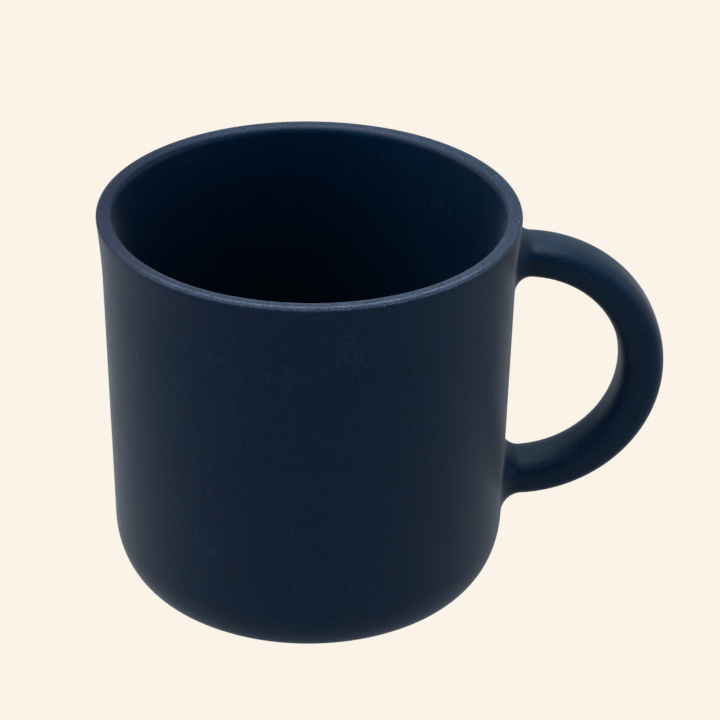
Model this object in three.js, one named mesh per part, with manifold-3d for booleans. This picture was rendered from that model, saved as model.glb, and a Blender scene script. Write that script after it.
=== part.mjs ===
// A stoneware mug with a loop handle, in millimetres, +Z up, handle towards +X.
//
// The cup is one thrown clay body. The handle is cast on its own and luted to the cup's
// side with two pads of slip. A matt glaze then coats the cup outside, the cup inside and
// the handle, and the foot ring stays bare. Each of those is a closed solid of its own.
// The origin is on the standing plane, at the centre of the mug's box in X and Y.

import * as THREE from 'three';
import { mergeVertices } from 'three/addons/utils/BufferGeometryUtils.js';
import Module from 'manifold-3d';

// Cup
const mugHeight = 83.4;
const rimRadius = 44;
const rimFlare = 0.75; // how far the rim stands out past the wall
const flareHeight = 15.6; // height of the outward curve below the rim
const wallTaper = 0.1; // how much narrower the wall is at the heel than below the flare
const wallThickness = 3.64;
const rimOuterRound = 0.6;
const rimInnerRound = 1.7;
const heelHeight = 10.4;
const heelInset = 5; // how far the heel curves in under the wall
const insideCornerRadius = 9;

// Floor and foot ring
const floorThickness = 5;
const footRingWidth = 5.2;
const recessDepth = 1.6;
const recessSlope = 1.2;
const bareFootHeight = 1.3; // the glaze stops this far above the standing plane
const footEdgeRound = 0.9;

// Handle
const handleWidth = 12.3; // across, glaze included
const handleThickness = 9.4; // in the plane of the loop, glaze included
const handleReach = 28.6; // from the wall to the centreline's farthest point
const handleRun = 2; // straight stretch of the centreline next to the wall
const upperRootDrop = 10.7; // from the rim down to the upper root's centreline
const lowerRootHeight = 18.5; // from the standing plane up to the lower root's centreline
const upperRootThinning = 0.18; // share of the thickness lost at the upper root
const lowerRootThinning = 0.11; // share of the thickness lost at the lower root
const sectionExponent = 3; // 2 is an ellipse, larger values are squarer

// Slip joints
const slipThickness = 0.9; // slip left under the handle's end
const slipEdge = 0.3; // how far the slip's thin end stands off the handle
const upperFillet = 3.4;
const lowerFillet = 4.2;

// Glaze and fits
const glazeThickness = 0.4;
const glazeBond = 0.05; // clearance between the handle and its glaze
const jointGap = 0.3; // clearance round each slip joint

// Mesh fineness
const turnSegments = 48;
const sectionPoints = 20;
const loopSteps = 24;
const filletSteps = 4;

// Sizes that follow from those above
const wallRadius = rimRadius - rimFlare;
const heelRadius = wallRadius - wallTaper;
const footRadius = heelRadius - heelInset;
const floorTop = recessDepth + floorThickness;
const crownRadius = rimRadius - (rimOuterRound + wallThickness - rimInnerRound) / 2;
const upperRootZ = mugHeight - upperRootDrop;
const loopCentreX = wallRadius + handleRun;
const loopCentreZ = (upperRootZ + lowerRootHeight) / 2;
const loopHalfWidth = handleReach - handleRun;
const loopHalfHeight = (upperRootZ - lowerRootHeight) / 2;
const handleEndOffset = jointGap + slipThickness + jointGap - glazeThickness;
const farthestX = wallRadius + handleReach + handleThickness / 2;

const wasm = await Module();
wasm.setup();

const loop = handleCentreline();
const loopLength = loop.getLength();
const outside = outsideOutline();
const inside = insideOutline();
const clayOutside = offsetOutline(outside, -glazeThickness);
const clayInside = offsetOutline(inside, -glazeThickness);

// --- Outlines, as points of radius and height ---

// The glazed outside, from the glaze's lower edge up to the middle of the rim.
function outsideOutline() {
  const glazeEdge = -Math.asin((heelHeight - bareFootHeight) / heelHeight);
  const flareFoot = mugHeight - flareHeight;
  const rimEdge = mugHeight - rimOuterRound;
  const heel = new THREE.EllipseCurve(
    footRadius, heelHeight, heelInset, heelHeight, glazeEdge, 0,
  );
  const flare = new THREE.QuadraticBezierCurve(
    new THREE.Vector2(wallRadius, flareFoot),
    new THREE.Vector2(wallRadius, (flareFoot + rimEdge) / 2),
    new THREE.Vector2(rimRadius, rimEdge),
  );
  const edge = new THREE.EllipseCurve(
    rimRadius - rimOuterRound, rimEdge, rimOuterRound, rimOuterRound, 0, Math.PI / 2,
  );
  return [
    ...heel.getPoints(6),
    ...flare.getPoints(5),
    ...edge.getPoints(3).slice(1),
    new THREE.Vector2(crownRadius, mugHeight),
  ];
}

// The glazed inside, from the middle of the rim down to the floor's centre. It keeps the
// wall's thickness, so it flares with the outside.
function insideOutline() {
  const mouthRadius = rimRadius - wallThickness;
  const boreRadius = wallRadius - wallThickness;
  const lowRadius = heelRadius - wallThickness;
  const rimEdge = mugHeight - rimInnerRound;
  const flareFoot = mugHeight - flareHeight;
  const edge = new THREE.EllipseCurve(
    mouthRadius + rimInnerRound, rimEdge, rimInnerRound, rimInnerRound,
    Math.PI / 2, Math.PI,
  );
  const flare = new THREE.QuadraticBezierCurve(
    new THREE.Vector2(mouthRadius, rimEdge),
    new THREE.Vector2(boreRadius, (flareFoot + rimEdge) / 2),
    new THREE.Vector2(boreRadius, flareFoot),
  );
  const corner = new THREE.EllipseCurve(
    lowRadius - insideCornerRadius, floorTop + insideCornerRadius,
    insideCornerRadius, insideCornerRadius, 0, -Math.PI / 2, true,
  );
  return [
    new THREE.Vector2(crownRadius, mugHeight),
    ...edge.getPoints(4),
    ...flare.getPoints(4).slice(1),
    ...corner.getPoints(6),
    new THREE.Vector2(0, floorTop),
  ];
}

// The bare underside, from the floor's centre to the glaze's lower edge.
function footOutline() {
  const ringInner = footRadius - footRingWidth;
  const recess = new THREE.CubicBezierCurve(
    new THREE.Vector2(ringInner - recessSlope, recessDepth),
    new THREE.Vector2(ringInner - recessSlope / 2, recessDepth),
    new THREE.Vector2(ringInner - recessSlope / 3, 0),
    new THREE.Vector2(ringInner, 0),
  );
  const edge = new THREE.QuadraticBezierCurve(
    new THREE.Vector2(footRadius - footEdgeRound / 2, 0),
    new THREE.Vector2(footRadius + footEdgeRound, 0),
    clayOutside[0],
  );
  return [
    new THREE.Vector2(0, recessDepth),
    ...recess.getPoints(4),
    ...edge.getPoints(3).slice(0, -1),
  ];
}

// Each point moved along the outline's normal: outwards from the clay for a positive distance.
function offsetOutline(points, distance) {
  const last = points.length - 1;
  return points.map((point, i) => {
    const along = points[Math.min(i + 1, last)].clone().sub(points[Math.max(i - 1, 0)]);
    const normal = new THREE.Vector2(along.y, -along.x).normalize();
    const moved = point.clone().addScaledVector(normal, distance);
    if (i === last) {
      moved.x = point.x;
    }
    return moved;
  });
}

// --- Solids ---

function turned(points) {
  return new THREE.LatheGeometry(points, turnSegments).rotateX(Math.PI / 2);
}

// A solid plug with the cup's outside outline, grown by an offset. It trims what meets the wall.
function cupPlug(offset) {
  const side = offsetOutline(outside, offset);
  return toSolid(turned([
    new THREE.Vector2(0, side[0].y),
    ...side,
    new THREE.Vector2(0, side.at(-1).y),
  ]));
}

// The handle's centreline in the XZ plane, from inside the wall at the top root round to the
// bottom root: a half ellipse between two straight runs.
function handleCentreline() {
  const startX = wallRadius - wallThickness / 2;
  const path = new THREE.Path();
  path.moveTo(startX, upperRootZ);
  path.lineTo(loopCentreX, upperRootZ);
  path.absellipse(
    loopCentreX, loopCentreZ, loopHalfWidth, loopHalfHeight, Math.PI / 2, -Math.PI / 2, true,
  );
  path.lineTo(startX, lowerRootHeight);
  return path;
}

// How much of its full thickness the handle keeps at a height: all of it at the middle.
function thicknessShare(z) {
  const fromMiddle = (z - loopCentreZ) / loopHalfHeight;
  const thinning = fromMiddle > 0 ? upperRootThinning : lowerRootThinning;
  return 1 - thinning * Math.min(1, fromMiddle * fromMiddle);
}

// A rounded rectangle of half sizes 1 by 1.
function handleSection() {
  const corner = (value) => Math.sign(value) * Math.abs(value) ** (2 / sectionExponent);
  const points = [];
  for (let i = 0; i < sectionPoints; i += 1) {
    const angle = (2 * Math.PI * i) / sectionPoints;
    points.push(new THREE.Vector2(corner(Math.cos(angle)), corner(Math.sin(angle))));
  }
  return new THREE.Shape(points);
}

// The section swept along part of the centreline. grow(distance) is added to both half sizes,
// at a distance along the centreline from where it starts.
function sweptAlongLoop(from, to, steps, grow) {
  const geometry = new THREE.ExtrudeGeometry(handleSection(), {
    depth: 1, steps, bevelEnabled: false, curveSegments: 1,
  });
  const position = geometry.attributes.position;
  for (let i = 0; i < position.count; i += 1) {
    const distance = from + (to - from) * position.getZ(i);
    const centre = loop.getPointAt(distance / loopLength);
    const ahead = loop.getTangentAt(distance / loopLength);
    const halfWidth = handleWidth / 2 + grow(distance);
    const halfThickness = (handleThickness / 2) * thicknessShare(centre.y) + grow(distance);
    const out = position.getY(i) * halfThickness;
    position.setXYZ(
      i,
      centre.x - ahead.y * out,
      position.getX(i) * halfWidth,
      centre.y + ahead.x * out,
    );
  }
  return geometry;
}

function handleTube(grow) {
  return toSolid(sweptAlongLoop(0, loopLength, loopSteps, () => grow));
}

// The concave sleeve of slip round one root, before the wall and the handle are cut from it.
function slipSleeve(isUpper) {
  const fillet = isUpper ? upperFillet : lowerFillet;
  const wallDistance = wallThickness / 2;
  const reach = wallDistance + fillet;
  const grow = (distance) => {
    const fromStart = isUpper ? distance : loopLength - distance;
    const above = THREE.MathUtils.clamp((fromStart - wallDistance) / fillet, 0, 1);
    return slipEdge + fillet * (1 - Math.sqrt(1 - (1 - above) ** 2));
  };
  const [from, to] = isUpper ? [0, reach] : [loopLength - reach, loopLength];
  return toSolid(sweptAlongLoop(from, to, filletSteps * 2, grow));
}

// --- Booleans ---

function toSolid(geometry) {
  const bare = geometry.clone();
  bare.deleteAttribute('normal');
  bare.deleteAttribute('uv');
  const merged = mergeVertices(bare);
  const corners = merged.index.array;
  const triangles = [];
  for (let i = 0; i < corners.length; i += 3) {
    const [a, b, c] = corners.subarray(i, i + 3);
    if (a !== b && b !== c && c !== a) {
      triangles.push(a, b, c);
    }
  }
  return new wasm.Manifold(new wasm.Mesh({
    numProp: 3,
    vertProperties: merged.attributes.position.array,
    triVerts: Uint32Array.from(triangles),
  }));
}

function toGeometry(solid) {
  const { vertProperties, triVerts } = solid.getMesh();
  const geometry = new THREE.BufferGeometry();
  geometry.setAttribute('position', new THREE.BufferAttribute(vertProperties, 3));
  geometry.setIndex(new THREE.BufferAttribute(triVerts, 1));
  geometry.computeVertexNormals();
  return geometry;
}

// --- Sub-parts ---

function cupBody() {
  return turned([...footOutline(), ...clayOutside, ...clayInside.slice(1)]);
}

function handle() {
  return toGeometry(handleTube(-glazeThickness).subtract(cupPlug(handleEndOffset)));
}

function slipJoint(isUpper) {
  const handleSpace = handleTube(jointGap - glazeThickness)
    .subtract(cupPlug(handleEndOffset - jointGap));
  return toGeometry(
    slipSleeve(isUpper)
      .subtract(cupPlug(jointGap - glazeThickness))
      .subtract(handleSpace),
  );
}

// The outside coat, open round both slip joints.
function outerGlaze() {
  const skin = toSolid(turned([...outside, ...clayOutside.toReversed(), outside[0]]));
  return toGeometry(skin.subtract(slipOpening(true)).subtract(slipOpening(false)));
}

// A straight plug through the wall, a gap wider than the slip joint all round.
function slipOpening(isUpper) {
  const fillet = isUpper ? upperFillet : lowerFillet;
  const reach = wallThickness;
  const [from, to] = isUpper ? [0, reach] : [loopLength - reach, loopLength];
  return toSolid(sweptAlongLoop(from, to, 1, () => slipEdge + fillet + jointGap));
}

function innerGlaze() {
  return turned([...clayInside.toReversed(), ...inside]);
}

// The handle's coat, a tube that starts just past each slip joint.
function handleGlaze() {
  const upperEnd = wallThickness / 2 + upperFillet + jointGap;
  const lowerEnd = loopLength - wallThickness / 2 - lowerFillet - jointGap;
  const coat = toSolid(sweptAlongLoop(upperEnd, lowerEnd, loopSteps, () => 0));
  return toGeometry(coat.subtract(handleTube(glazeBond - glazeThickness)));
}

// --- Materials ---

function clayMaterial() {
  return new THREE.MeshStandardMaterial({ color: 0xc9b79c, roughness: 0.85, metalness: 0 });
}

function slipMaterial() {
  return new THREE.MeshStandardMaterial({ color: 0x1d2d3e, roughness: 0.6, metalness: 0 });
}

function glazeMaterial() {
  return new THREE.MeshStandardMaterial({ color: 0x16273a, roughness: 0.5, metalness: 0 });
}

// --- Assembly ---

const pieces = [
  ['cup_body', cupBody(), clayMaterial()],
  ['handle', handle(), clayMaterial()],
  ['upper_slip_joint', slipJoint(true), slipMaterial()],
  ['lower_slip_joint', slipJoint(false), slipMaterial()],
  ['outer_glaze', outerGlaze(), glazeMaterial()],
  ['inner_glaze', innerGlaze(), glazeMaterial()],
  ['handle_glaze', handleGlaze(), glazeMaterial()],
];

const group = new THREE.Group();
for (const [name, geometry, material] of pieces) {
  const mesh = new THREE.Mesh(geometry, material);
  mesh.name = name;
  group.add(mesh);
}
group.position.x = (rimRadius - farthestX) / 2;

export default group;
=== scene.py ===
"""A stoneware mug in matt blue glaze: fine surfaces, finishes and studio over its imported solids."""

import logging
import math
from dataclasses import dataclass, replace
from enum import Enum
from typing import Any, Callable, Sequence, Union

import bmesh
import bpy
from mathutils import Matrix, Vector


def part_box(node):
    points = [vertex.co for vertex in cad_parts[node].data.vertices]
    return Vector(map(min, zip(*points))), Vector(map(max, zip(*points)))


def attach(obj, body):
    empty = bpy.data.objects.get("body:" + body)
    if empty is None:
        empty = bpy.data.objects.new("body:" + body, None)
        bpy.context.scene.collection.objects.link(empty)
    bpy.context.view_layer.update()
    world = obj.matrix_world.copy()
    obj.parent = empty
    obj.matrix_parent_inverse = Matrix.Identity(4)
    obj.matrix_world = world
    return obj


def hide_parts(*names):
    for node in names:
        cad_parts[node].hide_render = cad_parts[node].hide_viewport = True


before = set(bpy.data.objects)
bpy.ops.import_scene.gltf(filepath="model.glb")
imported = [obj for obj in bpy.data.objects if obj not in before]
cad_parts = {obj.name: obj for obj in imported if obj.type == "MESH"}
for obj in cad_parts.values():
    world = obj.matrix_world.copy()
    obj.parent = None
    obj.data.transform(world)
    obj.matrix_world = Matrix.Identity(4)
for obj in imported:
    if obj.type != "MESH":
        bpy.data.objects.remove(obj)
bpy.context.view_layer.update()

BODY = "root"
MM = 0.001
QUARTER_TURN = math.pi / 2
RIDGE = "ridge"  # the attribute that says how near a point is to a ridge
WELD = 0.0001 * MM  # points closer than this become one
HOLLOWS_PER_METRE = 45.0  # how many hollows the maker's hand left along a metre of wall
HANDLE_FADE = 15 * MM  # the width over which they fade out near the handle
AXIS_FADE = 20 * MM  # and near the axis

log = logging.getLogger("mug")

Value = Union[float, int, tuple, "Field", bpy.types.NodeSocket, bpy.types.ID]
Outline = list[Vector]


# --- Node trees written as expressions ---


class Field:
    """A node's output socket that Python's operators extend with Math nodes."""

    def __init__(self, tree: bpy.types.NodeTree, socket: bpy.types.NodeSocket) -> None:
        """Wraps an output socket of a node tree."""
        self.tree = tree
        self.socket = socket

    def math(self, operation: str, *others: Value) -> "Field":
        """Adds a Math node that starts with this value and goes on with the others."""
        return Graph(self.tree).math(operation, self, *others)

    def __add__(self, other: Value) -> "Field":
        """Returns self + other."""
        return self.math("ADD", other)

    def __sub__(self, other: Value) -> "Field":
        """Returns self - other."""
        return self.math("SUBTRACT", other)

    def __mul__(self, other: Value) -> "Field":
        """Returns self * other."""
        return self.math("MULTIPLY", other)

    def __truediv__(self, other: Value) -> "Field":
        """Returns self / other."""
        return self.math("DIVIDE", other)

    def __pow__(self, other: Value) -> "Field":
        """Returns self ** other."""
        return self.math("POWER", other)

    def __abs__(self) -> "Field":
        """Returns abs(self)."""
        return self.math("ABSOLUTE")

    def __rsub__(self, other: Value) -> "Field":
        """Returns other - self."""
        return Graph(self.tree).math("SUBTRACT", other, self)

    def __rtruediv__(self, other: Value) -> "Field":
        """Returns other / self."""
        return Graph(self.tree).math("DIVIDE", other, self)

    __radd__ = __add__
    __rmul__ = __mul__

    def ramp(self, low: float, high: float) -> "Field":
        """Eases from 0 at low to 1 at high, or down where low is the larger.

        Args:
            low: the value that gives 0.
            high: the value that gives 1.

        Returns:
            The eased value.
        """
        bounds = (low, high, 0.0, 1.0) if low < high else (high, low, 1.0, 0.0)
        node = Graph(self.tree).node(
            "ShaderNodeMapRange",
            {"interpolation_type": "SMOOTHSTEP"},
            dict(zip(("Value", "From Min", "From Max", "To Min", "To Max"), (self, *bounds))),
        )
        return Field(self.tree, node.outputs["Result"])

    def near(self, centre: float, reach: float) -> "Field":
        """Peaks at 1 where the value is centre and falls to 0 at reach from it."""
        return abs(self - centre).ramp(reach, 0.0)


class Graph:
    """Adds nodes to one shader or geometry node tree."""

    def __init__(self, tree: bpy.types.NodeTree) -> None:
        """Wraps a tree."""
        self.tree = tree

    def node(self, kind: str, settings: dict[str, Any], inputs: dict[Any, Value]) -> bpy.types.Node:
        """Adds one node.

        Args:
            kind: the node's type.
            settings: its properties, set before its sockets.
            inputs: values or links by socket name or number.

        Returns:
            The new node.
        """
        made = self.tree.nodes.new(kind)
        for name, setting in settings.items():
            setattr(made, name, setting)
        for key, value in inputs.items():
            source = value.socket if isinstance(value, Field) else value
            if isinstance(source, bpy.types.NodeSocket):
                self.tree.links.new(source, made.inputs[key])
            else:
                made.inputs[key].default_value = source
        return made

    def field(
        self, kind: str, settings: dict[str, Any], inputs: dict[Any, Value], output: Any = 0
    ) -> Field:
        """Adds one node and returns one of its outputs as a field."""
        return Field(self.tree, self.node(kind, settings, inputs).outputs[output])

    def math(self, operation: str, *values: Value) -> Field:
        """Adds a Math node with its values in order."""
        return self.field("ShaderNodeMath", {"operation": operation}, dict(enumerate(values)))

    def vector(self, operation: str, *values: Value, output: Any = 0) -> Field:
        """Adds a Vector Math node and returns one of its outputs."""
        sockets = dict(enumerate(values))
        return self.field("ShaderNodeVectorMath", {"operation": operation}, sockets, output)

    def scaled(self, vector: Value, factor: Value) -> Field:
        """Returns a vector times a number."""
        return self.field("ShaderNodeVectorMath", {"operation": "SCALE"}, {0: vector, "Scale": factor})

    def join(self, x: Value, y: Value, z: Value) -> Field:
        """Returns a vector of three numbers."""
        return self.field("ShaderNodeCombineXYZ", {}, {0: x, 1: y, 2: z})

    def split(self, vector: Value) -> tuple[Field, ...]:
        """Returns a vector's three numbers."""
        outputs = self.node("ShaderNodeSeparateXYZ", {}, {0: vector}).outputs
        return tuple(Field(self.tree, output) for output in outputs)

    def noise(
        self, vector: Value, per_mm: float, detail: float = 2.0, roughness: float = 0.5
    ) -> Field:
        """Adds fractal noise about 0.5, mostly between 0.3 and 0.7, over millimetres."""
        sockets = {"Vector": vector, "Scale": per_mm, "Detail": detail, "Roughness": roughness}
        return self.field("ShaderNodeTexNoise", {"noise_dimensions": "3D"}, sockets)

    def blend(self, factor: Value, first: Value, second: Value) -> Field:
        """Mixes two colours: a factor of 0 gives the first and 1 the second."""
        sockets = {0: factor, 6: first, 7: second}
        return self.field("ShaderNodeMix", {"data_type": "RGBA"}, sockets, 2)


# --- Finishes ---


def rgb(red: float, green: float, blue: float) -> tuple[float, float, float, float]:
    """Returns an opaque colour in linear light."""
    return (red, green, blue, 1.0)


def new_material(name: str) -> tuple[bpy.types.Material, Graph]:
    """Makes an empty node material.

    Args:
        name: the material's name.

    Returns:
        The material and a graph on its tree.
    """
    material = bpy.data.materials.new(name)
    material.use_nodes = True
    material.node_tree.nodes.clear()
    return material, Graph(material.node_tree)


def finish_surface(graph: Graph, sockets: dict[str, Value], height: Field, relief: float) -> None:
    """Ends a material in one Principled surface with relief.

    Args:
        graph: the material's graph.
        sockets: the surface's sockets by name.
        height: the relief as a field from 0 to 1.
        relief: what a height of 1 stands for, in metres.
    """
    bump = graph.field("ShaderNodeBump", {}, {"Height": height, "Distance": relief, "Strength": 1.0})
    surface = graph.node("ShaderNodeBsdfPrincipled", {}, {**sockets, "Normal": bump})
    graph.node("ShaderNodeOutputMaterial", {}, {"Surface": surface.outputs[0]})


def coordinates(graph: Graph, axis_x: float) -> tuple[Field, Field, Field, Field, Field]:
    """Reads Object coordinates in millimetres.

    Args:
        graph: the material's graph.
        axis_x: where the cup's axis is along X, in metres.

    Returns:
        The place, its distances from the axis along X and Y, its height and its radius.
    """
    place = graph.field("ShaderNodeTexCoord", {}, {}, "Object")
    mm = graph.scaled(place, 1.0 / MM)
    x, y, z = graph.split(mm)
    across = x - axis_x / MM
    radius = graph.vector("LENGTH", graph.join(across, y, 0.0), output="Value")
    return mm, across, y, z, radius


@dataclass(frozen=True)
class RimPlaces:
    """Where round the rim its looks change, in millimetres from the cup's axis: lighter on the front,
    right and back, partly with painted highlight, and darker on the left with painted shade.

    Each pair is the place where a look starts and the place where it is full, along Y for the
    front and the back and along X for the left and the right.
    """

    front: tuple[float, float] = (5.0, -38.0)
    # where the rim's lighter lines, partly painted highlight, are full on the front
    front_highlight_and_wear: tuple[float, float] = (-20.0, -41.0)
    back: tuple[float, float] = (8.0, 40.0)
    left: tuple[float, float] = (-13.725, -39.725)
    right: tuple[float, float] = (-35.725, 0.275)


@dataclass(frozen=True)
class MattGlaze:
    """The mug's matt blue glaze, with its grain, pinholes and scuffs, and a rim lighter from use and
    thinner glaze, with painted highlight on its front, right and back and painted shade on its left.
    """

    axis_x: float
    rim_radius: float
    mouth_radius: float
    top: float
    deep: tuple = rgb(0.0012, 0.0182, 0.0335)
    violet: tuple = rgb(0.0038, 0.0165, 0.0325)
    # painted shade: a darker, more violet colour laid over the left of the rim
    painted_left_shade: tuple = rgb(0.0025, 0.006, 0.023)
    # glaze that breaks lighter on ridges and on the rim; on the rim's front, right and back it is
    # partly painted highlight
    thin_and_highlight: tuple = rgb(0.064, 0.072, 0.098)
    # the colour of scuffs, scratches and the rim's lighter lines, which on the front are partly painted
    # highlight
    worn_and_highlight: tuple = rgb(0.16, 0.19, 0.22)
    speck: tuple = rgb(0.42, 0.44, 0.44)
    roughness: float = 0.43
    index: float = 1.26
    name: str = "matt_blue_glaze"
    sheen: float = 0.25
    sheen_roughness: float = 0.35
    sheen_tint: tuple = rgb(1.0, 0.9, 0.85)
    graininess: float = 2.2
    relief: float = 0.06 * MM
    rim: RimPlaces = RimPlaces()
    # how much lighter the rim's front, right and back are: partly thinner glaze, partly painted
    # highlight
    front_thinning_and_highlight: float = 0.26
    right_thinning_and_highlight: float = 0.2
    back_thinning_and_highlight: float = 0.09
    # the share of the rim's lighter lines away from the front, where they are full and partly painted
    # highlight
    least_wear: float = 0.05
    scuff_share: float = 0.07
    scratch_share: float = 0.2
    # how far the painted shade darkens the rim's left
    painted_left_shade_share: float = 0.9

    def material(self) -> bpy.types.Material:
        """Builds the glaze.

        Returns:
            A material that reads Object coordinates, the same on every piece of the mug.
        """
        material, graph = new_material(self.name)
        mm, across, y, z, radius = coordinates(graph, self.axis_x)
        top = self.top / MM
        at_top = z.ramp(top - 1.0, top - 0.1)

        broad_cloud = graph.noise(mm, per_mm=0.022).ramp(0.38, 0.62)
        small_cloud = graph.noise(mm, per_mm=0.14).ramp(0.4, 0.6)
        cloud = broad_cloud * 0.55 + small_cloud * 0.45
        mottle = graph.noise(mm, per_mm=0.16, detail=4.0, roughness=0.62)
        grain = graph.noise(mm, per_mm=1.9, detail=3.0, roughness=0.6)
        tooth = graph.noise(mm, per_mm=5.5, roughness=0.55)

        # The rim is lighter on its front, right and back: partly thinner glaze, partly painted
        # highlight.
        thinning_and_highlight = at_top * (
            y.ramp(*self.rim.front) * self.front_thinning_and_highlight
            + across.ramp(*self.rim.right) * self.right_thinning_and_highlight
            + y.ramp(*self.rim.back) * self.back_thinning_and_highlight
        )
        # The rim's lighter lines are full on the front and faint elsewhere: partly from use, partly
        # painted highlight.
        wear_and_highlight_here = self.least_wear + y.ramp(*self.rim.front_highlight_and_wear) * (1.0 - self.least_wear)
        wear_and_highlight = self.rim_wear_and_highlight(graph, mm, radius, z) * wear_and_highlight_here
        scuff = self.scuffs(graph, mm) * self.scuff_share
        long_scratch = self.scratches(graph, mm, per_mm=0.08, reach=4.0, share=0.3)
        short_scratch = self.scratches(graph, mm, per_mm=0.19, reach=1.3, share=0.1)
        scratch = long_scratch + short_scratch * 0.7
        # Scuffs, scratches and the rim's lighter lines, which are partly painted highlight.
        rubbed_and_highlight = (wear_and_highlight + scuff + scratch * self.scratch_share).math("MINIMUM", 1.0)
        pinhole = self.spots(graph, mm, per_mm=0.6, radius=0.14, share=0.25)
        dust = self.spots(graph, mm, per_mm=0.42, radius=0.18, share=0.04 + at_top * 0.16)
        grit = self.spots(graph, mm, per_mm=0.95, radius=0.3, share=0.5)

        ridge = graph.field("ShaderNodeAttribute", {"attribute_name": RIDGE}, {}, "Fac")
        thin_and_highlight = thinning_and_highlight + ridge * (0.05 + mottle * 0.12)
        # Painted shade: the left of the rim is laid darker and more violet.
        left_shade_mask = at_top * across.ramp(*self.rim.left)
        clouded = graph.blend(cloud, self.deep, self.violet)
        with_left_shade = graph.blend(left_shade_mask * self.painted_left_shade_share, clouded, self.painted_left_shade)
        body = graph.blend(thin_and_highlight, with_left_shade, self.thin_and_highlight)
        shade = 0.8 + mottle * 0.3 + (grain - 0.5) * (self.graininess + at_top * 2.2)
        toned = graph.scaled(body, shade)
        gritty_and_highlight = rubbed_and_highlight + grit * (0.018 + at_top * 0.07)
        rubbed_and_highlight_colour = graph.blend(gritty_and_highlight, toned, self.worn_and_highlight)
        colour = graph.blend(dust * (0.1 + at_top * 0.8), rubbed_and_highlight_colour, self.speck)

        uneven = (mottle - 0.5) * 0.14 + (grain - 0.5) * 0.3
        sockets = {
            "Base Color": colour,
            "Roughness": self.roughness + uneven - rubbed_and_highlight * 0.04,
            "IOR": self.index,
            "Sheen Weight": self.sheen,
            "Sheen Roughness": self.sheen_roughness,
            "Sheen Tint": self.sheen_tint,
        }
        height = grain * 0.7 + tooth * 0.35 + mottle * 0.5 - pinhole * 0.6 - scratch * 0.3
        finish_surface(graph, sockets, height, self.relief)
        return material

    def lining(self) -> "MattGlaze":
        """Returns the same glaze as it is inside and on the rim, with less sheen."""
        return replace(self, name="matt_blue_lining", sheen=0.08, sheen_roughness=0.22, graininess=0.8)

    def spots(
        self, graph: Graph, mm: Field, per_mm: float, radius: float, share: Value
    ) -> Field:
        """Scatters small round spots.

        Args:
            graph: the material's graph.
            mm: place in millimetres.
            per_mm: cells to the millimetre, each with one spot at most.
            radius: a spot's radius in millimetres.
            share: the share of cells that have a spot.

        Returns:
            0 between spots, 1 on them.
        """
        cells = graph.node("ShaderNodeTexVoronoi", {}, {"Vector": mm, "Scale": per_mm})
        chance, _, _ = graph.split(cells.outputs["Color"])
        near = Field(graph.tree, cells.outputs["Distance"]).ramp(radius * per_mm, radius * per_mm * 0.5)
        return near * chance.math("LESS_THAN", share)

    def rim_wear_and_highlight(self, graph: Graph, mm: Field, radius: Field, height: Field) -> Field:
        """Marks lighter lines and grit along the rim's edges: partly where lips and dishwashing have
        scuffed them, partly painted highlight.

        Args:
            graph: the material's graph.
            mm: place in millimetres.
            radius: distance from the cup's axis in millimetres.
            height: height above the table in millimetres.

        Returns:
            0 off the rim's edges, up to 1 on their lightest spots.
        """
        rim, mouth, top = self.rim_radius / MM, self.mouth_radius / MM, self.top / MM
        on_top = height.ramp(top - 0.9, top - 0.3)
        outer = height.near(top - 0.32, 0.22) * radius.ramp(rim - 0.6, rim - 0.2)
        ridge = radius.near(rim - 0.85, 0.3) * height.ramp(top - 0.3, top - 0.1)
        lip = radius.near(mouth + 1.0, 0.4) * on_top
        inner = radius.near(mouth + 0.4, 0.9) * on_top
        streak = graph.noise(mm, per_mm=0.12, detail=3.0, roughness=0.6).ramp(0.42, 0.62)
        broken = graph.noise(mm, per_mm=2.6, detail=3.0, roughness=0.7).ramp(0.42, 0.62)
        grain = graph.noise(mm, per_mm=1.5, detail=3.0, roughness=0.7).ramp(0.6, 0.68)
        grit = grain * graph.noise(mm, per_mm=0.07, detail=1.0).ramp(0.5, 0.6)
        # The edge lines are partly from use, partly painted highlight; the inner grit is chipping from
        # use.
        lines = (outer + ridge * 1.4 + lip * 0.9) * (0.4 + streak * 0.6) * (0.4 + broken * 0.6)
        return lines + inner * grit * 0.7

    def scuffs(self, graph: Graph, mm: Field) -> Field:
        """Marks faint scuffed patches on the wall.

        Args:
            graph: the material's graph.
            mm: place in millimetres.

        Returns:
            0 on clean glaze, up to 1 in a patch.
        """
        patch = graph.noise(mm, per_mm=0.055, detail=3.0, roughness=0.6).ramp(0.57, 0.68)
        broken = graph.noise(mm, per_mm=0.8, detail=4.0, roughness=0.7).ramp(0.5, 0.68)
        return patch * broken

    def scratches(
        self, graph: Graph, mm: Field, per_mm: float, reach: float, share: float
    ) -> Field:
        """Scatters short hairline scratches, each on a slant of its own.

        Args:
            graph: the material's graph.
            mm: place in millimetres.
            per_mm: cells to the millimetre, each with one scratch at most.
            reach: half a scratch's greatest length in millimetres.
            share: the share of cells that have a scratch.

        Returns:
            0 on clean glaze, 1 on a scratch.
        """
        cells = graph.node("ShaderNodeTexVoronoi", {}, {"Vector": mm, "Scale": per_mm})
        from_middle = graph.vector("SUBTRACT", mm, cells.outputs["Position"])
        chance, second, third = graph.split(cells.outputs["Color"])
        slant = graph.join(second - 0.5, third - 0.5, (second * third - 0.25) * 1.2)
        upright = graph.vector("NORMALIZE", slant)
        off_line = graph.vector("DOT_PRODUCT", from_middle, upright, output="Value")
        sway = (graph.noise(mm, per_mm=0.3, detail=1.0) - 0.5) * 0.5
        line = abs(off_line + sway).ramp(0.08, 0.03)
        ends = graph.vector("LENGTH", from_middle, output="Value").ramp(reach, reach * 0.4)
        return line * ends * chance.math("LESS_THAN", share)


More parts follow.
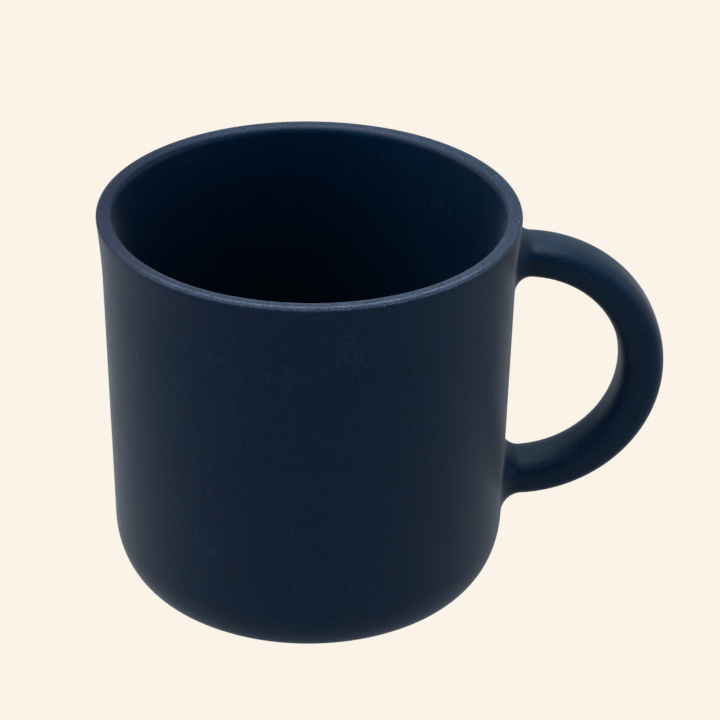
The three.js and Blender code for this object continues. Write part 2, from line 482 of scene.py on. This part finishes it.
@dataclass(frozen=True)
class BareClay:
    """Fired buff stoneware without glaze, as on the foot ring, with the trimming tool's rings."""

    axis_x: float
    pale: tuple = rgb(0.52, 0.43, 0.32)
    dark: tuple = rgb(0.42, 0.335, 0.24)
    iron: tuple = rgb(0.11, 0.07, 0.045)
    roughness: float = 0.86
    relief: float = 0.2 * MM

    def material(self) -> bpy.types.Material:
        """Builds the clay.

        Returns:
            A material that reads Object coordinates.
        """
        material, graph = new_material("bare_stoneware")
        mm, _, _, _, radius = coordinates(graph, self.axis_x)
        out = graph.join(radius, 0.0, 0.0)
        rings = graph.noise(out, per_mm=0.7, detail=3.0, roughness=0.6)
        cloud = graph.noise(mm, per_mm=0.12, detail=5.0, roughness=0.6)
        tone = cloud.ramp(0.3, 0.7) * 0.6 + rings.ramp(0.35, 0.65) * 0.4
        sand = graph.noise(mm, per_mm=2.2, detail=4.0, roughness=0.65)
        fleck = graph.noise(mm, per_mm=1.4, detail=1.0).ramp(0.7, 0.74)
        base = graph.blend(tone, self.pale, self.dark)
        toned = graph.scaled(base, 0.8 + sand * 0.4)
        colour = graph.blend(fleck * 0.8, toned, self.iron)
        rough = self.roughness + (sand - 0.5) * 0.12
        height = sand * 0.5 + rings
        finish_surface(graph, {"Base Color": colour, "Roughness": rough}, height, self.relief)
        return material


# --- Geometry Nodes trees ---


def new_geometry_tree(
    name: str, numbers: Sequence[str], count: str
) -> tuple[Graph, dict[str, Field]]:
    """Starts a Geometry Nodes tree that takes an outline, its sizes and a finish.

    Args:
        name: the tree's name.
        numbers: the names of its inputs that are numbers.
        count: the name of its input that is a whole number.

    Returns:
        A graph on the tree, and the tree's inputs by name.
    """
    tree = bpy.data.node_groups.new(name, "GeometryNodeTree")
    kinds = {"Geometry": "Geometry", **dict.fromkeys(numbers, "Float")}
    for label, kind in {**kinds, count: "Int", "Finish": "Material"}.items():
        tree.interface.new_socket(name=label, in_out="INPUT", socket_type=f"NodeSocket{kind}")
    tree.interface.new_socket(name="Geometry", in_out="OUTPUT", socket_type="NodeSocketGeometry")
    entry = tree.nodes.new("NodeGroupInput")
    return Graph(tree), {socket.name: Field(tree, socket) for socket in entry.outputs}


def end_geometry_tree(
    graph: Graph, grid: bpy.types.Node, position: Field, ridge: Value, finish: Field
) -> bpy.types.NodeTree:
    """Bends a grid to its final place, closes it and gives it its finish.

    Args:
        graph: the tree's graph.
        grid: the grid node to bend.
        position: where each of its points goes.
        ridge: how near each point is to a ridge, where the glaze breaks lighter, up to 1.
        finish: the tree's input for the material.

    Returns:
        The finished tree.
    """
    kind = {"data_type": "FLOAT", "domain": "POINT"}
    named = {"Geometry": grid.outputs["Mesh"], "Name": RIDGE, "Value": ridge}
    shape = graph.field("GeometryNodeStoreNamedAttribute", kind, named)
    steps = {
        "GeometryNodeSetPosition": {"Position": position},
        "GeometryNodeMergeByDistance": {"Distance": WELD},
        "GeometryNodeSetShadeSmooth": {},
        "GeometryNodeRealizeInstances": {},
        "GeometryNodeSetMaterial": {"Material": finish},
    }
    for step, inputs in steps.items():
        shape = graph.field(step, {}, {"Geometry": shape, **inputs})
    graph.node("NodeGroupOutput", {}, {"Geometry": shape})
    return graph.tree


def point_of(graph: Graph, outline: Field, index: Field) -> Field:
    """Finds one point of the outline.

    Args:
        graph: the tree's graph.
        outline: the tree's incoming outline.
        index: the point's number.

    Returns:
        Its position.
    """
    position = graph.field("GeometryNodeInputPosition", {}, {})
    settings = {"data_type": "FLOAT_VECTOR", "clamp": True}
    sockets = {"Geometry": outline, "Value": position, "Index": index}
    return graph.field("GeometryNodeSampleIndex", settings, sockets)


def points_in(graph: Graph, outline: Field) -> Field:
    """Returns how many points the tree's incoming outline has."""
    sockets, component = {"Geometry": outline}, {"component": "MESH"}
    return graph.field("GeometryNodeAttributeDomainSize", component, sockets, "Point Count")


def grid_of(graph: Graph, columns: Value, rows: Value) -> tuple[bpy.types.Node, Field, Field]:
    """Adds a grid and says which column and row each of its points is in.

    Args:
        graph: the tree's graph.
        columns: points along X.
        rows: points along Y.

    Returns:
        The grid node, the column field and the row field.
    """
    grid = graph.node("GeometryNodeMeshGrid", {}, {"Vertices X": columns, "Vertices Y": rows})
    index = graph.field("GeometryNodeInputIndex", {}, {})
    column = (index / rows).math("FLOOR")
    return grid, column, index - column * rows


def turned_form_tree() -> bpy.types.NodeTree:
    """Builds the tree that turns an outline of radius and height round an upright axis.

    Returns:
        A tree whose inputs are the axis' place, the segments to a turn, how uneven the maker's
        hand left the surface, the seed of that, where it fades out, and the finish.
    """
    numbers = ("Axis X", "Unevenness", "Seed", "Even From X")
    graph, given = new_geometry_tree("turned_form", numbers, "Segments")
    outline = given["Geometry"]
    rows = points_in(graph, outline)
    grid, column, row = grid_of(graph, given["Segments"] + 1.0, rows)
    angle = column * math.tau / given["Segments"]
    radius, _, height = graph.split(point_of(graph, outline, row))
    across, along = angle.math("COSINE"), angle.math("SINE")
    spot = graph.join(across * radius, along * radius, height)
    hollow = graph.field(
        "ShaderNodeTexNoise",
        {"noise_dimensions": "4D"},
        {"Vector": spot, "W": given["Seed"], "Scale": HOLLOWS_PER_METRE, "Detail": 1.0},
    )
    fade = (given["Even From X"] - across * radius).ramp(0.0, HANDLE_FADE)
    dent = hollow * given["Unevenness"] * fade
    final = radius - dent * radius.ramp(0.0, AXIS_FADE)
    position = graph.join(across * final + given["Axis X"], along * final, height)
    return end_geometry_tree(graph, grid, position, 0.0, given["Finish"])


def swept_loop_tree() -> bpy.types.NodeTree:
    """Builds the tree that sweeps a rounded oblong along a centreline in the XZ plane.

    Returns:
        A tree whose inputs are the section's sizes, its squareness, how far it thins towards
        each end, the points round it, and the finish. The centreline's points are its rings.
    """
    section = ("Width", "Thickness", "Squareness", "Shrink")
    run = ("Upper Thinning", "Lower Thinning", "Middle Height", "Half Height")
    graph, given = new_geometry_tree("swept_loop", section + run, "Sides")
    line = given["Geometry"]
    rings = points_in(graph, line)
    grid, side, row = grid_of(graph, given["Sides"] + 1.0, rings + 2.0)
    ring = (row - 1.0).math("MAXIMUM", 0.0).math("MINIMUM", rings - 1.0)
    is_open = abs(row - 1.0 - ring).math("LESS_THAN", 0.5)
    centre = point_of(graph, line, ring)
    before = point_of(graph, line, (ring - 1.0).math("MAXIMUM", 0.0))
    after = point_of(graph, line, (ring + 1.0).math("MINIMUM", rings - 1.0))
    ahead = graph.vector("NORMALIZE", graph.vector("SUBTRACT", after, before))
    centre_x, _, centre_z = graph.split(centre)
    ahead_x, _, ahead_z = graph.split(ahead)
    from_middle = (centre_z - given["Middle Height"]) / given["Half Height"]
    is_upper = from_middle.math("GREATER_THAN", 0.0)
    thinning = is_upper * given["Upper Thinning"] + (1.0 - is_upper) * given["Lower Thinning"]
    share = 1.0 - thinning * (from_middle * from_middle).math("MINIMUM", 1.0)
    angle = side * math.tau / given["Sides"]
    power = 2.0 / given["Squareness"]
    cosine, sine = angle.math("COSINE"), angle.math("SINE")
    half_width = given["Width"] / 2.0 - given["Shrink"]
    half_thickness = given["Thickness"] / 2.0 * share - given["Shrink"]
    wide = cosine.math("SIGN") * abs(cosine) ** power * half_width
    out = sine.math("SIGN") * abs(sine) ** power * half_thickness
    position = graph.join(
        centre_x - ahead_z * out * is_open,
        wide * is_open,
        centre_z + ahead_x * out * is_open,
    )
    ridge = abs(cosine * sine * 2.0) ** 6.0
    return end_geometry_tree(graph, grid, position, ridge, given["Finish"])


# --- Making and placing pieces ---


def linked(name: str, data: bpy.types.ID) -> bpy.types.Object:
    """Makes an object of some data and links it to the scene.

    Args:
        name: the object's name.
        data: its mesh, light or camera.

    Returns:
        The object.
    """
    made = bpy.data.objects.new(name, data)
    bpy.context.scene.collection.objects.link(made)
    return made


def polyline(name: str, points: Sequence[Vector]) -> bpy.types.Object:
    """Makes an object of points joined in order.

    Args:
        name: the object's name.
        points: the points.

    Returns:
        The linked object.
    """
    mesh = bpy.data.meshes.new(name)
    mesh.from_pydata([tuple(p) for p in points], [(i, i + 1) for i in range(len(points) - 1)], [])
    return linked(name, mesh)


def grown(
    name: str, points: Sequence[Vector], tree: bpy.types.NodeTree, sizes: dict[str, Any]
) -> bpy.types.Object:
    """Runs a Geometry Nodes tree on an outline and keeps the result as a plain mesh.

    Args:
        name: the finished piece's name.
        points: the outline or centreline.
        tree: the tree to run.
        sizes: its inputs by name.

    Returns:
        The finished piece, with no modifier left.
    """
    holder = polyline(name, points)
    modifier = holder.modifiers.new(tree.name, "NODES")
    modifier.node_group = tree
    for item in tree.interface.items_tree:
        if item.item_type == "SOCKET" and item.in_out == "INPUT" and item.name in sizes:
            modifier[item.identifier] = sizes[item.name]
    bpy.context.view_layer.update()
    evaluated = holder.evaluated_get(bpy.context.evaluated_depsgraph_get())
    mesh = bpy.data.meshes.new_from_object(evaluated)
    mesh.name = name
    mesh.materials.clear()
    mesh.materials.append(sizes["Finish"])
    mesh.polygons.foreach_set("material_index", [0] * len(mesh.polygons))
    outline = holder.data
    holder.modifiers.clear()
    holder.data = mesh
    bpy.data.meshes.remove(outline)
    return holder


def skinned(
    name: str, rows: Sequence[Sequence[Vector]], creases: Sequence[int], finish: bpy.types.Material
) -> bpy.types.Object:
    """Makes a closed ring-shaped solid from rows of points, closed both ways.

    Args:
        name: the piece's name.
        rows: loops of points, each as long as the next, in order round the ring's section.
        creases: the rows that are sharp edges.
        finish: the piece's material.

    Returns:
        The linked object with smooth faces that point outwards.
    """
    mesh = bpy.data.meshes.new(name)
    shape = bmesh.new()
    grid = [[shape.verts.new(point) for point in row] for row in rows]
    for i, row in enumerate(grid):
        following = grid[(i + 1) % len(grid)]
        for j, corner in enumerate(row):
            k = (j + 1) % len(row)
            shape.faces.new((corner, following[j], following[k], row[k])).smooth = True
    for i in creases:
        for j, corner in enumerate(grid[i]):
            shape.edges.get((corner, grid[i][j - 1])).smooth = False
    bmesh.ops.recalc_face_normals(shape, faces=shape.faces)
    shape.to_mesh(mesh)
    shape.free()
    mesh.materials.append(finish)
    return linked(name, mesh)


def hand_over(piece: bpy.types.Object, slot: str, *nodes: str) -> None:
    """Puts a finished piece in the place of its CAD nodes.

    Args:
        piece: the finished piece.
        slot: the record's material slot; not used.
        nodes: the CAD nodes that it stands for.
    """
    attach(piece, BODY)
    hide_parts(*nodes)
    log.info("%s stands for %s: %d faces", piece.name, ", ".join(nodes), len(piece.data.polygons))


def at(radius: float, height: float) -> Vector:
    """Returns a point in the plane of radius and height."""
    return Vector((radius, 0.0, height))


def arc(centre: Vector, across: float, up: float, start: float, end: float, steps: int) -> Outline:
    """Returns an ellipse's arc from one angle to another in radians, both ends included."""
    angles = [start + (end - start) * i / steps for i in range(steps + 1)]
    return [centre + at(across * math.cos(a), up * math.sin(a)) for a in angles]


def bezier(points: Sequence[Vector], steps: int) -> Outline:
    """Returns points along a Bezier curve of any degree.

    Args:
        points: its control points.
        steps: the number of steps along it.

    Returns:
        The points, both ends included.
    """
    curve = []
    for i in range(steps + 1):
        level = list(points)
        while len(level) > 1:
            level = [a.lerp(b, i / steps) for a, b in zip(level, level[1:])]
        curve.append(level[0])
    return curve


def stretch(start: Vector, end: Vector, steps: int) -> Outline:
    """Returns evenly spaced points on a straight line, both ends included."""
    return [start.lerp(end, i / steps) for i in range(steps + 1)]


def inset(points: Outline, distance: float) -> Outline:
    """Moves an outline into the material on its left.

    Args:
        points: the outline, with the material on its left.
        distance: how far each point moves.

    Returns:
        The moved outline.
    """
    last = len(points) - 1
    moved = []
    for i, point in enumerate(points):
        along = points[min(i + 1, last)] - points[max(i - 1, 0)]
        moved.append(point + Vector((-along.z, 0.0, along.x)).normalized() * distance)
    moved[-1].x = points[-1].x
    return moved


# --- The cup ---


@dataclass
class Cup:
    """The turned cup: a clay body in one coat of glaze, with a bare foot ring."""

    axis_x: float
    height: float
    rim_radius: float
    glaze_foot: float
    rim_flare: float = 0.75 * MM
    flare_height: float = 15.6 * MM
    wall_taper: float = 0.1 * MM
    wall: float = 3.64 * MM
    outer_round: float = 0.6 * MM
    inner_round: float = 1.7 * MM
    heel_height: float = 10.4 * MM
    heel_inset: float = 5.0 * MM
    corner: float = 9.0 * MM
    floor: float = 5.0 * MM
    ring_width: float = 5.2 * MM
    recess: float = 1.6 * MM
    recess_slope: float = 1.2 * MM
    foot_round: float = 0.9 * MM
    glaze: float = 0.4 * MM
    unevenness: float = 0.1 * MM
    seed: float = 3.0
    even_from: float = 0.55
    segments: int = 288

    @classmethod
    def from_frame(cls) -> "Cup":
        """Sizes a cup by the boxes of its CAD nodes."""
        low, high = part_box("outer_glaze")
        return cls((low.x + high.x) / 2, high.z, (high.y - low.y) / 2, low.z)

    @property
    def wall_radius(self) -> float:
        """The outside radius just below the flare."""
        return self.rim_radius - self.rim_flare

    @property
    def heel_radius(self) -> float:
        """The outside radius at the top of the heel."""
        return self.wall_radius - self.wall_taper

    @property
    def mouth_radius(self) -> float:
        """The inside radius at the rim."""
        return self.rim_radius - self.wall

    def radius_at(self, z: float) -> float:
        """Works out the outside radius.

        Args:
            z: a height above the heel.

        Returns:
            The radius there.
        """
        start, end = self.height - self.flare_height, self.height - self.outer_round
        if z > start:
            return self.wall_radius + self.rim_flare * ((z - start) / (end - start)) ** 2
        share = (z - self.heel_height) / (start - self.heel_height)
        return self.heel_radius + self.wall_taper * share

    def outside(self) -> Outline:
        """Draws the glazed outside.

        Returns:
            Its outline from the glaze's foot up to the rim's crown.
        """
        foot = at(self.heel_radius - self.heel_inset, self.heel_height)
        first = -math.asin((self.heel_height - self.glaze_foot) / self.heel_height)
        flare_foot = self.height - self.flare_height
        edge = at(self.rim_radius - self.outer_round, self.height - self.outer_round)
        flare = [
            at(self.wall_radius, flare_foot),
            at(self.wall_radius, (flare_foot + edge.z) / 2),
            at(self.rim_radius, edge.z),
        ]
        heel = arc(foot, self.heel_inset, self.heel_height, first, 0.0, 18)
        return [
            *heel,
            *stretch(heel[-1], flare[0], 14)[1:],
            *bezier(flare, 12)[1:],
            *arc(edge, self.outer_round, self.outer_round, 0.0, QUARTER_TURN, 7)[1:],
        ]

    def inside(self) -> Outline:
        """Draws the glazed inside.

        Returns:
            Its outline from the rim's crown down to the floor's centre.
        """
        edge = at(self.mouth_radius + self.inner_round, self.height - self.inner_round)
        flare_foot = self.height - self.flare_height
        bore = self.wall_radius - self.wall
        low = self.heel_radius - self.wall
        floor_top = self.recess + self.floor
        flare = [
            at(self.mouth_radius, edge.z),
            at(bore, (flare_foot + edge.z) / 2),
            at(bore, flare_foot),
        ]
        turn = at(low - self.corner, floor_top + self.corner)
        corner = arc(turn, self.corner, self.corner, 0.0, -QUARTER_TURN, 14)
        return [
            *arc(edge, self.inner_round, self.inner_round, QUARTER_TURN, math.pi, 9),
            *bezier(flare, 10)[1:],
            *stretch(flare[-1], corner[0], 12)[1:],
            *corner[1:],
            *stretch(corner[-1], at(0.0, floor_top), 8)[1:],
        ]

    def underside(self, last: Vector) -> Outline:
        """Draws the bare underside from the floor's centre out to the glaze.

        Args:
            last: where the clay meets the glaze's foot.

        Returns:
            The outline, without its last point.
        """
        foot = self.heel_radius - self.heel_inset
        ring = foot - self.ring_width
        slope = [
            at(ring - self.recess_slope, self.recess),
            at(ring - self.recess_slope / 2, self.recess),
            at(ring - self.recess_slope / 3, 0.0),
            at(ring, 0.0),
        ]
        edge = [
            at(foot - self.foot_round / 2, 0.0),
            at(foot + self.foot_round, 0.0),
            last,
        ]
        return [
            *stretch(at(0.0, self.recess), slope[0], 6),
            *bezier(slope, 8)[1:],
            *bezier(edge, 6)[:-1],
        ]

    def line(self, coat: bpy.types.Object, lining: bpy.types.Material) -> None:
        """Gives the rim's top and the whole inside of the coat their own finish.

        Args:
            coat: the coat.
            lining: the finish of its inside.
        """
        coat.data.materials.append(lining)
        rim_edge = self.rim_radius - self.outer_round
        for face in coat.data.polygons:
            spot = face.center - at(self.axis_x, 0.0)
            faces_axis = face.normal.xy.dot(spot.xy) < 0.0
            faces_up = face.normal.z > 0.5 and spot.xy.length < rim_edge
            if faces_axis or faces_up:
                face.material_index = 1

    def build(
        self,
        tree: bpy.types.NodeTree,
        glaze: bpy.types.Material,
        lining: bpy.types.Material,
        clay: bpy.types.Material,
    ) -> None:
        """Makes the coat and the clay body and hands them over.

        Args:
            tree: the tree that turns an outline.
            glaze: the coat's finish outside.
            lining: the coat's finish inside.
            clay: the body's finish.
        """
        coat = self.outside() + self.inside()
        under = inset(coat, self.glaze)
        sizes = {
            "Axis X": self.axis_x,
            "Segments": self.segments,
            "Unevenness": self.unevenness,
            "Seed": self.seed,
            "Even From X": self.rim_radius * self.even_from,
        }
        first = at(0.0, under[-1].z)
        shell = [first, *reversed(under[:-1]), *coat]
        cup_glaze = grown("cup_glaze_coat", shell, tree, {**sizes, "Finish": glaze})
        self.line(cup_glaze, lining)
        hand_over(cup_glaze, "glaze", "outer_glaze", "inner_glaze")
        body = self.underside(under[0]) + under
        cup_clay = grown("cup_clay_body", body, tree, {**sizes, "Finish": clay})
        hand_over(cup_clay, "clay", "cup_body")


# --- The handle ---


class Root(Enum):
    """The two roots of the handle, by the way that each lies from the loop's middle."""

    UPPER = 1.0
    LOWER = -1.0


@dataclass
class LoopHandle:
    """The cast loop handle, a rounded oblong swept along half an ellipse."""

    wall_radius: float
    axis_x: float
    width: float
    far_x: float
    upper_root: float
    lower_root: float
    thickness: float = 9.4 * MM
    run: float = 2.0 * MM
    root_depth: float = 1.82 * MM
    upper_thinning: float = 0.18
    lower_thinning: float = 0.11
    squareness: float = 3.0
    glaze: float = 0.4 * MM
    loop_steps: int = 112
    sides: int = 96

    @classmethod
    def from_frame(cls, cup: Cup) -> "LoopHandle":
        """Sizes a handle by its CAD nodes.

        Args:
            cup: the cup that the handle is luted to.

        Returns:
            The handle.
        """
        low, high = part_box("handle_glaze")
        drop, rise = 10.7 * MM, 18.5 * MM
        return cls(cup.wall_radius, cup.axis_x, high.y - low.y, high.x, cup.height - drop, rise)

    @property
    def centre(self) -> Vector:
        """The centre of the loop's ellipse."""
        x = self.axis_x + self.wall_radius + self.run
        return at(x, (self.upper_root + self.lower_root) / 2)

    @property
    def half_height(self) -> float:
        """Half the height between the two roots' centrelines."""
        return (self.upper_root - self.lower_root) / 2

    @property
    def half_width(self) -> float:
        """How far the centreline reaches past the ellipse's centre."""
        return self.far_x - self.thickness / 2 - self.centre.x

    def centreline(self) -> Outline:
        """Draws the centreline.

        Returns:
            Its points from inside the wall at the top, round to the bottom.
        """
        start_x = self.axis_x + self.wall_radius - self.root_depth
        upper = at(start_x, self.upper_root)
        lower = at(start_x, self.lower_root)
        ends = QUARTER_TURN, -QUARTER_TURN
        loop = arc(self.centre, self.half_width, self.half_height, *ends, self.loop_steps)
        return stretch(upper, loop[0], 6)[:-1] + loop + stretch(loop[-1], lower, 6)[1:]

    def section(self, x: float, root: Root, grow: float) -> Callable[[float], Vector]:
        """Gives the points round the handle where its centreline passes a place near a root.

        Args:
            x: where, along X.
            root: the root.
            grow: how far the points stand off the handle's surface.

        Returns:
            A function from an angle to a point.
        """
        side = root.value
        past = min(1.0, max(0.0, (x - self.centre.x) / self.half_width))
        rise = math.sqrt(1.0 - past * past)
        middle = self.centre + at(x - self.centre.x, side * self.half_height * rise)
        slope = side * self.half_height / self.half_width * past / max(rise, 0.1)
        out = at(slope, 1.0).normalized()
        thinning = self.upper_thinning if root is Root.UPPER else self.lower_thinning
        share = 1.0 - thinning * rise * rise

        def point(angle: float) -> Vector:
            """Finds a point of the section.

            Args:
                angle: the angle round the section, in radians.

            Returns:
                The point.
            """
            power = 2.0 / self.squareness
            cosine, sine = math.cos(angle), math.sin(angle)
            wide = math.copysign(abs(cosine) ** power, cosine)
            tall = math.copysign(abs(sine) ** power, sine)
            half_width, half_height = self.width / 2, self.thickness / 2 * share
            flat = Vector((wide * half_width, tall * half_height))
            steep = self.squareness - 1.0
            normal = Vector((
                math.copysign(abs(wide) ** steep, wide) / half_width,
                math.copysign(abs(tall) ** steep, tall) / half_height,
            )).normalized()
            placed = flat + normal * grow
            return middle + Vector((0.0, placed.x, 0.0)) + out * placed.y

        return point

    def build(
        self, tree: bpy.types.NodeTree, glaze: bpy.types.Material, clay: bpy.types.Material
    ) -> None:
        """Makes the glazed handle and its clay core and hands them over.

        Args:
            tree: the tree that sweeps a section.
            glaze: the coat's finish.
            clay: the core's finish.
        """
        sizes = {
            "Width": self.width,
            "Thickness": self.thickness,
            "Squareness": self.squareness,
            "Upper Thinning": self.upper_thinning,
            "Lower Thinning": self.lower_thinning,
            "Middle Height": self.centre.z,
            "Half Height": self.half_height,
            "Sides": self.sides,
        }
        line = self.centreline()
        coat = grown("handle_glaze_coat", line, tree, {**sizes, "Shrink": 0.0, "Finish": glaze})
        hand_over(coat, "glaze", "handle_glaze")
        core_sizes = {**sizes, "Shrink": self.glaze, "Finish": clay}
        core = grown("handle_clay_core", line[1:-1], tree, core_sizes)
        hand_over(core, "clay", "handle")


@dataclass
class SlipJoint:
    """The slip squeezed out round one root of the handle, smoothed to a hollow curve."""

    cup: Cup
    handle: LoopHandle
    root: Root
    radius: float
    depth: float = 0.8 * MM
    steps: int = 12
    sides: int = 128

    def wall_x(self, y: float, z: float) -> float:
        """Returns where the cup's outside is along X, at a place across and a height."""
        return self.cup.axis_x + math.sqrt(self.cup.radius_at(z) ** 2 - y * y)

    def point(self, angle: float, off_wall: float, grow: float) -> Vector:
        """Finds a point that stands off both the wall and the handle.

        Args:
            angle: the angle round the handle's section.
            off_wall: distance from the wall along X.
            grow: distance from the handle's surface.

        Returns:
            The point.
        """
        x = self.cup.axis_x + self.cup.wall_radius + off_wall
        for _ in range(4):
            spot = self.handle.section(x, self.root, grow)(angle)
            x = self.wall_x(spot.y, spot.z) + off_wall
        return Vector((x, spot.y, spot.z))

    def rows(self) -> list[Outline]:
        """Draws the joint.

        Returns:
            The rings of points of its fillet, then of its hidden back, in order.
        """
        turns = [math.tau * i / self.sides for i in range(self.sides)]
        profile = []
        for i in range(self.steps + 1):
            bend = QUARTER_TURN * i / self.steps
            off_wall = self.radius * (1.0 - math.sin(bend))
            profile.append((off_wall, self.radius * (1.0 - math.cos(bend))))
        deep = -self.depth
        profile += [(deep, self.radius), (deep, deep), (self.radius, deep)]
        return [[self.point(angle, *place) for angle in turns] for place in profile]

    def build(self, glaze: bpy.types.Material) -> None:
        """Makes the joint and hands it over.

        Args:
            glaze: its finish.
        """
        place = self.root.name.lower()
        rows = self.rows()
        creases = [0, *range(self.steps, len(rows))]
        piece = skinned(f"{place}_slip_fillet", rows, creases, glaze)
        hand_over(piece, "slip", f"{place}_slip_joint")


# --- The studio ---


def towards(azimuth: float, elevation: float) -> Vector:
    """Returns the direction from the mug to a place round it, from angles in radians."""
    level = math.cos(elevation)
    return Vector((math.sin(azimuth) * level, -math.cos(azimuth) * level, math.sin(elevation)))


@dataclass(frozen=True)
class Softbox:
    """A large soft light aimed at the mug's middle."""

    name: str
    azimuth: float
    elevation: float
    power: float
    colour: tuple
    distance: float = 1.5
    side: float = 1.2

    def build(self, target: Vector) -> None:
        """Adds the light.

        Args:
            target: the point it faces.
        """
        data = bpy.data.lights.new(self.name, "AREA")
        data.shape = "SQUARE"
        data.size = self.side
        data.energy = self.power
        data.color = self.colour
        lamp = linked(self.name, data)
        back = towards(math.radians(self.azimuth), math.radians(self.elevation))
        facing = back.to_track_quat("Z", "Y").to_matrix().to_4x4()
        lamp.matrix_world = Matrix.Translation(target + back * self.distance) @ facing
        lamp.visible_camera = False


@dataclass
class Studio:
    """A pale floor, soft lights and the camera that looks down on the mug."""

    cup: Cup
    pale: tuple = rgb(0.965, 0.896, 0.807)
    ambient: tuple = rgb(0.032, 0.13, 0.115)
    floor_glow: tuple = rgb(0.379, 0.435, 0.469)
    azimuth: float = -2.09
    elevation: float = 30.44
    roll: float = 1.06
    distance: float = 0.430
    lens: float = 99.6
    aim_right: float = 10.95 * MM
    aim_height: float = 46.8 * MM
    floor_half: float = 4.0
    floor_gap: float = 0.02 * MM
    floor_mottle: float = 0.004

    def softboxes(self) -> list[Softbox]:
        """Lists the lights, by azimuth round the mug from the camera's side.

        Returns:
            The lights.
        """
        return [
            Softbox("left_high_softbox", -90.0, 48.0, 13.4, (0.79, 0.79, 1.0)),
            Softbox("left_low_softbox", -110.0, 4.0, 7.0, (1.0, 0.62, 0.75)),
            Softbox("right_softbox", 90.0, 14.0, 6.6, (0.606, 0.588, 1.0)),
            Softbox("back_high_softbox", 180.0, 68.0, 21.8, (0.573, 0.674, 1.0)),
            Softbox("back_low_softbox", 180.0, 14.0, 2.8, (0.874, 0.913, 1.0)),
            Softbox("back_left_softbox", -135.0, 48.0, 2.3, (0.874, 1.0, 0.805)),
            Softbox("back_right_softbox", 135.0, 31.0, 1.6, (1.0, 0.861, 0.937)),
            Softbox("top_softbox", 0.0, 88.0, 8.3, (1.0, 0.921, 0.775)),
            Softbox("front_left_softbox", -45.0, 14.0, 6.5, (0.0, 0.195, 1.0)),
            Softbox("front_right_softbox", 45.0, 14.0, 6.0, (0.0, 0.334, 1.0)),
        ]

    def floor(self) -> None:
        """Adds the pale floor, lit from within so that it takes no shadow, and clear from below."""
        mesh = bpy.data.meshes.new("pale_floor")
        half = self.floor_half
        low = -self.floor_gap
        corners = [(-half, -half, low), (half, -half, low), (half, half, low), (-half, half, low)]
        mesh.from_pydata(corners, [], [(0, 1, 2, 3)])
        material, graph = new_material("pale_floor")
        place = graph.field("ShaderNodeTexCoord", {}, {}, "Object")
        mottle = graph.noise(place, 9.0) * self.floor_mottle
        seen = graph.field("ShaderNodeLightPath", {}, {}, "Is Camera Ray")
        bright = graph.scaled(self.pale[:3], 1.0 - self.floor_mottle / 2 + mottle)
        colour = graph.blend(seen, self.floor_glow, bright)
        glow = graph.node("ShaderNodeEmission", {}, {"Color": colour, "Strength": 1.0})
        below = graph.field("ShaderNodeNewGeometry", {}, {}, "Backfacing")
        clear = graph.node("ShaderNodeBsdfTransparent", {}, {})
        faces = {0: below, 1: glow.outputs[0], 2: clear.outputs[0]}
        sided = graph.field("ShaderNodeMixShader", {}, faces)
        graph.node("ShaderNodeOutputMaterial", {}, {"Surface": sided})
        mesh.materials.append(material)
        linked("pale_floor", mesh)

    def surroundings(self) -> None:
        """Sets the dim room and the pale backdrop that the camera sees past the floor."""
        world = bpy.data.worlds.new("studio")
        world.use_nodes = True
        world.node_tree.nodes.clear()
        graph = Graph(world.node_tree)
        seen = graph.field("ShaderNodeLightPath", {}, {}, "Is Camera Ray")
        colour = graph.blend(seen, self.ambient, self.pale)
        light = graph.node("ShaderNodeBackground", {}, {"Color": colour, "Strength": 1.0})
        graph.node("ShaderNodeOutputWorld", {}, {"Surface": light.outputs[0]})
        bpy.context.scene.world = world

    def camera(self) -> None:
        """Adds the camera, looking down on the mug with the handle to its right."""
        angles = (self.azimuth, self.elevation, self.roll)
        azimuth, elevation, roll = (math.radians(angle) for angle in angles)
        right = Vector((math.cos(azimuth), math.sin(azimuth), 0.0))
        back = towards(azimuth, elevation)
        up = back.cross(right)
        turned_right = right * math.cos(roll) + up * math.sin(roll)
        turned_up = up * math.cos(roll) - right * math.sin(roll)
        target = Vector((self.cup.axis_x, 0.0, self.aim_height)) + right * self.aim_right
        data = bpy.data.cameras.new("camera")
        data.lens = self.lens
        data.sensor_width = 36.0
        data.clip_start = 0.01
        camera = linked("camera", data)
        axes = Matrix((turned_right, turned_up, back)).transposed().to_4x4()
        camera.matrix_world = Matrix.Translation(target + back * self.distance) @ axes
        bpy.context.scene.camera = camera

    def build(self) -> None:
        """Adds everything round the mug."""
        bpy.context.scene.view_settings.view_transform = "Standard"
        self.surroundings()
        self.floor()
        self.camera()
        middle = Vector((self.cup.axis_x, 0.0, self.cup.height / 2))
        for softbox in self.softboxes():
            softbox.build(middle)
            log.info("%s added", softbox.name)


def main() -> None:
    """Builds the mug and its studio."""
    logging.basicConfig(level=logging.INFO, format="%(name)s: %(message)s")
    cup = Cup.from_frame()
    handle = LoopHandle.from_frame(cup)
    finish = MattGlaze(cup.axis_x, cup.rim_radius, cup.mouth_radius, cup.height)
    glaze, lining = finish.material(), finish.lining().material()
    clay = BareClay(cup.axis_x).material()
    cup.build(turned_form_tree(), glaze, lining, clay)
    handle.build(swept_loop_tree(), glaze, clay)
    SlipJoint(cup, handle, Root.UPPER, 3.4 * MM).build(glaze)
    SlipJoint(cup, handle, Root.LOWER, 4.2 * MM).build(glaze)
    Studio(cup).build()


if __name__ == "__main__":
    main()
